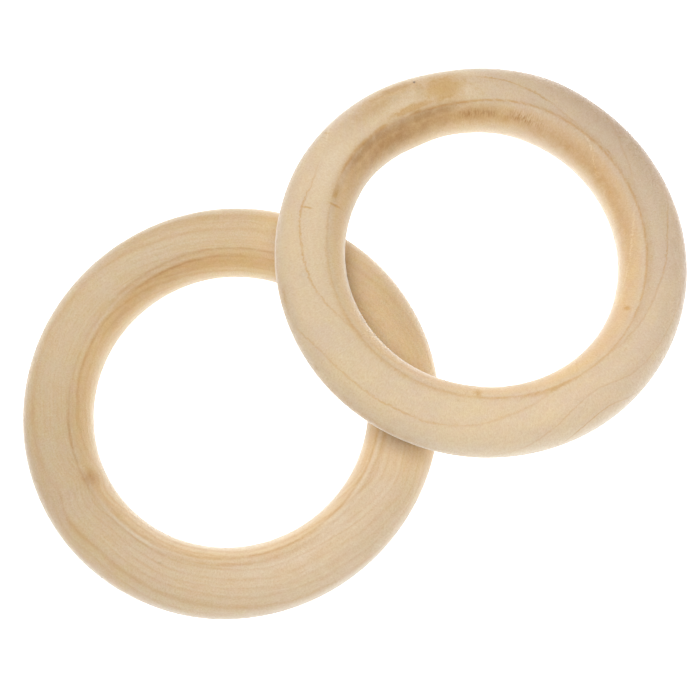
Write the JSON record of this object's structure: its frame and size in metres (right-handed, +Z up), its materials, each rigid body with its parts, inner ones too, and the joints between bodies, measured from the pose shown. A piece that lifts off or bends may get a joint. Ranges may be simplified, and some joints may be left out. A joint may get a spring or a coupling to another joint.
{
  "type": "pair of gymnastics rings",
  "caption": "Pair of loose turned wooden gymnastics rings with flattened round bars, one leaning across the other.",
  "frame": {"origin": "on the surface that the pair lies on, under the middle of the pair", "axes": "+X from the lower ring's centre towards the upper ring's centre, +Y across the pair, +Z up from the surface"},
  "size_m": [0.3966, 0.236, 0.0645],
  "materials": {
    "lower_ring_wood": "bare light wood, finely sanded, matt",
    "upper_ring_wood": "bare light wood, finely sanded, matt"
  },
  "bodies": {
    "lower_ring": {"lower_ring": "lower_ring_wood"},
    "upper_ring": {"upper_ring": "upper_ring_wood"}
  },
  "joints": [
    {"name": "upper_ring_lift", "type": "slide", "parent": "lower_ring", "child": "upper_ring", "axis": [0, 0, 1], "range_m": [0, 0.15]}
  ]
}
